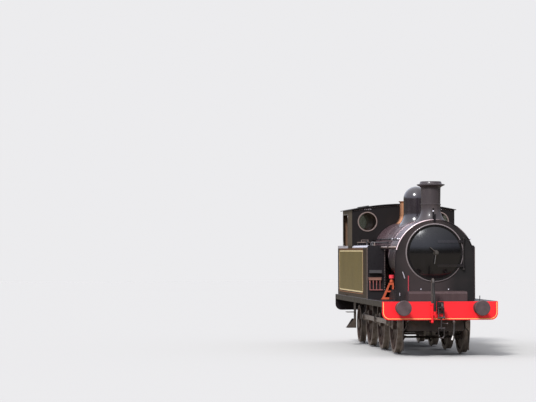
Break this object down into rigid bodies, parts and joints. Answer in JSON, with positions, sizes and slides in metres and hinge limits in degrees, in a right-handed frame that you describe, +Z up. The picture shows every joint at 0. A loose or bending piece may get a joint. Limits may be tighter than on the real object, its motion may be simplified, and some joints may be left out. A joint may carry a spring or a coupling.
{
  "type": "side tank steam locomotive",
  "caption": "Inside-cylinder six-coupled side tank engine with trailing axle, opening smokebox door, filler lids, turning wheels and coupling rods",
  "frame": {"origin": "midway between the buffer faces and between the frames, on the level of the flanges' lowest points, 28 mm below the rail head", "axes": "+X to the engine's left, +Y to the rear, +Z up; the smokebox faces -Y"},
  "size_m": [2.6, 9.97, 3.895],
  "materials": {
    "running_black": "satin",
    "panel_green": "gloss",
    "boiler_paint": "gloss",
    "beam_red": "gloss",
    "chassis_dark": "worn matt",
    "bright_steel": "worn",
    "tyre_steel": "oily",
    "cast_iron": "cast",
    "brass": "polished",
    "glass": "clear",
    "timber": "worn",
    "hose_rubber": "ribbed",
    "jack_red": "gloss"
  },
  "bodies": {
    "engine": {"ashpan": "chassis_dark", "axleboxes": "cast_iron", "backhead_fittings": "brass", "blastpipe": "cast_iron", "boiler": "boiler_paint", "brake_beams": "chassis_dark", "brake_hangers": "chassis_dark", "buffer_beams": "beam_red", "buffer_heads": "bright_steel", "buffer_stocks": "cast_iron", "bunker": "panel_green", "cab_ends": "running_black", "cab_floor": "timber", "cab_glass": "glass", "cab_roof": "running_black", "cab_sides": "panel_green", "chimney": "running_black", "cylinder_block": "cast_iron", "dome": "boiler_paint", "door_hinge": "bright_steel", "drawgear": "bright_steel", "filler_necks": "running_black", "footplate": "running_black", "footsteps": "chassis_dark", "frame_plates": "chassis_dark", "frame_stretchers": "chassis_dark", "front_cover": "running_black", "guard_irons": "chassis_dark", "handrails": "bright_steel", "lamp_irons": "running_black", "leaf_springs": "chassis_dark", "oil_box": "brass", "safety_valves": "brass", "screw_jack": "jack_red", "side_tanks": "panel_green", "slide_bars": "bright_steel", "smokebox": "running_black", "smokebox_front": "running_black", "splashers": "running_black", "steam_hose": "hose_rubber", "steam_hose_end": "bright_steel", "train_pipes": "running_black", "vacuum_hose": "hose_rubber", "valances": "running_black"},
    "door": {"smokebox_door": "running_black", "door_handles": "bright_steel"},
    "filler_left": {"filler_lid_left": "running_black"},
    "filler_right": {"filler_lid_right": "running_black"},
    "leading_wheelset": {"leading_wheels": "tyre_steel", "leading_axle": "bright_steel"},
    "driving_wheelset": {"driving_wheels": "tyre_steel", "driving_axle": "bright_steel"},
    "rear_wheelset": {"rear_wheels": "tyre_steel", "rear_axle": "bright_steel"},
    "trailing_wheelset": {"trailing_wheels": "tyre_steel", "trailing_axle": "bright_steel"},
    "cab_door_left_body": {"cab_door_left": "panel_green"},
    "cab_door_right_body": {"cab_door_right": "panel_green"},
    "left_rod": {"coupling_rod_left": "bright_steel"},
    "right_rod": {"coupling_rod_right": "bright_steel"}
  },
  "joints": [
    {"name": "driving_spin", "type": "hinge", "parent": "engine", "child": "driving_wheelset", "pos_m": [0, -0.855, 0.72], "axis": [1, 0, 0], "continuous": true},
    {"name": "leading_spin", "type": "hinge", "parent": "engine", "child": "leading_wheelset", "pos_m": [0, -2.965, 0.72], "axis": [1, 0, 0], "continuous": true},
    {"name": "rear_spin", "type": "hinge", "parent": "engine", "child": "rear_wheelset", "pos_m": [0, 1.255, 0.72], "axis": [1, 0, 0], "continuous": true},
    {"name": "trailing_spin", "type": "hinge", "parent": "engine", "child": "trailing_wheelset", "pos_m": [0, 3.305, 0.498], "axis": [1, 0, 0], "continuous": true},
    {"name": "left_rod_pin", "type": "hinge", "parent": "driving_wheelset", "child": "left_rod", "pos_m": [0.889, -0.855, 1.025], "axis": [1, 0, 0], "continuous": true},
    {"name": "right_rod_pin", "type": "hinge", "parent": "driving_wheelset", "child": "right_rod", "pos_m": [-0.889, -0.55, 0.72], "axis": [1, 0, 0], "continuous": true},
    {"name": "door_hinge_turn", "type": "hinge", "parent": "engine", "child": "door", "pos_m": [0.642, -3.817, 2.268], "axis": [0, 0, 1], "range_deg": [0, 110]},
    {"name": "filler_left_lift", "type": "hinge", "parent": "engine", "child": "filler_left", "pos_m": [1.0475, 0.634, 2.542], "axis": [1, 0, 0], "range_deg": [-100, 0]},
    {"name": "filler_right_lift", "type": "hinge", "parent": "engine", "child": "filler_right", "pos_m": [-1.0475, 0.634, 2.542], "axis": [1, 0, 0], "range_deg": [-100, 0]},
    {"name": "cab_door_left_swing", "type": "hinge", "parent": "engine", "child": "cab_door_left_body", "pos_m": [1.232, 2.529, 1.838], "axis": [0, 0, 1], "range_deg": [-85, 0]},
    {"name": "cab_door_right_swing", "type": "hinge", "parent": "engine", "child": "cab_door_right_body", "pos_m": [-1.232, 2.529, 1.838], "axis": [0, 0, 1], "range_deg": [0, 85]}
  ],
  "couplings": [
    {"joint": "leading_spin", "follows": "driving_spin", "ratio": 1},
    {"joint": "rear_spin", "follows": "driving_spin", "ratio": 1},
    {"joint": "left_rod_pin", "follows": "driving_spin", "ratio": -1},
    {"joint": "right_rod_pin", "follows": "driving_spin", "ratio": -1}
  ]
}
